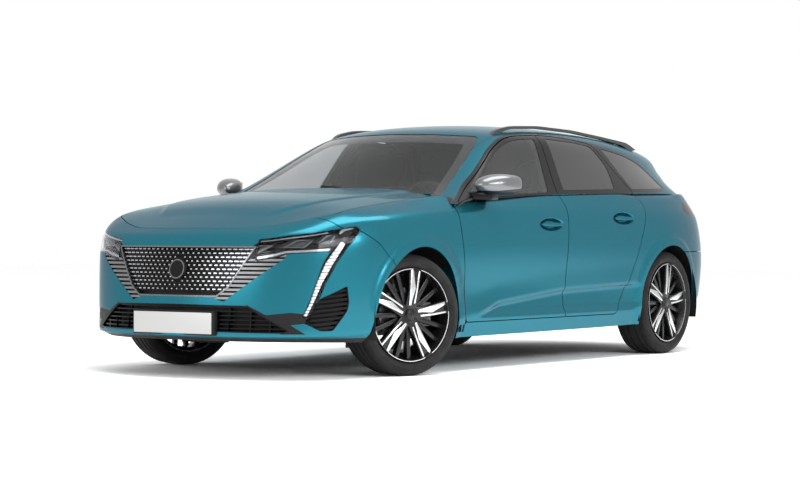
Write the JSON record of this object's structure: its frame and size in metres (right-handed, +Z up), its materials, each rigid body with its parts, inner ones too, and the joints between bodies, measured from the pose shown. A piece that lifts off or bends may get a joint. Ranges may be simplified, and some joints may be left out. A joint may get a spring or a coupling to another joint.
{
  "type": "station wagon",
  "caption": "Station wagon with opening doors, bonnet and tailgate, steered front wheels, free-rolling wheels, seats and roof rails.",
  "frame": {"origin": "on the floor, under the middle of the bounding box", "axes": "+X to the front of the car, +Y to its left, +Z up"},
  "size_m": [4.636, 2.062, 1.405],
  "materials": {
    "paint": "metallic teal paint",
    "mirror_cap": "satin grey",
    "glass": "clear tinted",
    "dark_glass": "dark privacy",
    "headlamp": "clear lens over dark reflector",
    "tail_lamp": "dark red lens",
    "black_plastic": "grained",
    "primed_steel": "dark primer",
    "rail_metal": "satin",
    "seat_fabric": "woven",
    "cast_metal": "as cast",
    "exhaust_steel": "brushed",
    "tyre": "rubber",
    "rim": "machined with black pockets",
    "brake_iron": "machined"
  },
  "bodies": {
    "body": {"side_frames": "paint", "roof_panel": "paint", "windscreen": "glass", "quarter_windows": "dark_glass", "headlamps": "headlamp", "front_bumper": "paint", "grille": "black_plastic", "front_fenders": "paint", "engine_bay": "primed_steel", "floor_pan": "primed_steel", "rear_bumper": "paint", "tail_lamps": "tail_lamp", "roof_rails": "rail_metal", "front_seats": "seat_fabric", "rear_seat": "seat_fabric", "dashboard": "black_plastic", "engine": "cast_metal", "exhaust": "exhaust_steel", "rear_axle": "cast_metal", "front_subframe": "primed_steel"},
    "left_front_door": {"left_front_door": "paint", "left_front_window": "glass", "left_mirror": "mirror_cap"},
    "right_front_door": {"right_front_door": "paint", "right_front_window": "glass", "right_mirror": "mirror_cap"},
    "left_rear_door": {"left_rear_door": "paint", "left_rear_window": "dark_glass"},
    "right_rear_door": {"right_rear_door": "paint", "right_rear_window": "dark_glass"},
    "bonnet": {"bonnet": "paint"},
    "tailgate": {"tailgate": "paint", "tailgate_window": "dark_glass"},
    "steering_wheel": {"steering_wheel": "black_plastic"},
    "left_knuckle": {"left_knuckle": "cast_metal"},
    "right_knuckle": {"right_knuckle": "cast_metal"},
    "left_front_wheel": {"left_front_tyre": "tyre", "left_front_rim": "rim", "left_front_disc": "brake_iron"},
    "left_rear_wheel": {"left_rear_tyre": "tyre", "left_rear_rim": "rim", "left_rear_disc": "brake_iron"},
    "right_front_wheel": {"right_front_tyre": "tyre", "right_front_rim": "rim", "right_front_disc": "brake_iron"},
    "right_rear_wheel": {"right_rear_tyre": "tyre", "right_rear_rim": "rim", "right_rear_disc": "brake_iron"}
  },
  "joints": [
    {"name": "left_steer", "type": "hinge", "parent": "body", "child": "left_knuckle", "pos_m": [1.373, 0.716, 0.3185], "axis": [0, 0, 1], "range_deg": [-16, 54]},
    {"name": "right_steer", "type": "hinge", "parent": "body", "child": "right_knuckle", "pos_m": [1.373, -0.716, 0.3185], "axis": [0, 0, 1], "range_deg": [-16, 54]},
    {"name": "steering_wheel_turn", "type": "hinge", "parent": "body", "child": "steering_wheel", "pos_m": [0.48, 0.37, 0.865], "axis": [-0.9063, 0, 0.4226], "range_deg": [-224, 756]},
    {"name": "left_front_spin", "type": "hinge", "parent": "left_knuckle", "child": "left_front_wheel", "pos_m": [1.394, 0.77699, 0.3185], "axis": [0.3256, 0.9455, 0], "continuous": true},
    {"name": "right_front_spin", "type": "hinge", "parent": "right_knuckle", "child": "right_front_wheel", "pos_m": [1.352, -0.77699, 0.3185], "axis": [0.3256, 0.9455, 0], "continuous": true},
    {"name": "left_rear_spin", "type": "hinge", "parent": "body", "child": "left_rear_wheel", "pos_m": [-1.359, 0.7805, 0.3185], "axis": [0, 1, 0], "continuous": true},
    {"name": "right_rear_spin", "type": "hinge", "parent": "body", "child": "right_rear_wheel", "pos_m": [-1.359, -0.7805, 0.3185], "axis": [0, 1, 0], "continuous": true},
    {"name": "left_front_door_hinge", "type": "hinge", "parent": "body", "child": "left_front_door", "pos_m": [0.945, 0.89, 0.6], "axis": [0, 0, -1], "range_deg": [0, 68]},
    {"name": "right_front_door_hinge", "type": "hinge", "parent": "body", "child": "right_front_door", "pos_m": [0.945, -0.89, 0.6], "axis": [0, 0, 1], "range_deg": [0, 68]},
    {"name": "left_rear_door_hinge", "type": "hinge", "parent": "body", "child": "left_rear_door", "pos_m": [-0.175, 0.89, 0.6], "axis": [0, 0, -1], "range_deg": [0, 68]},
    {"name": "right_rear_door_hinge", "type": "hinge", "parent": "body", "child": "right_rear_door", "pos_m": [-0.175, -0.89, 0.6], "axis": [0, 0, 1], "range_deg": [0, 68]},
    {"name": "bonnet_hinge", "type": "hinge", "parent": "body", "child": "bonnet", "pos_m": [1.035, 0, 0.94], "axis": [0, -1, 0], "range_deg": [0, 45]},
    {"name": "tailgate_hinge", "type": "hinge", "parent": "body", "child": "tailgate", "pos_m": [-1.779, 0, 1.297], "axis": [0, 1, 0], "range_deg": [0, 80]}
  ],
  "couplings": [
    {"joint": "right_steer", "follows": "left_steer", "ratio": 1},
    {"joint": "steering_wheel_turn", "follows": "left_steer", "ratio": 14}
  ]
}
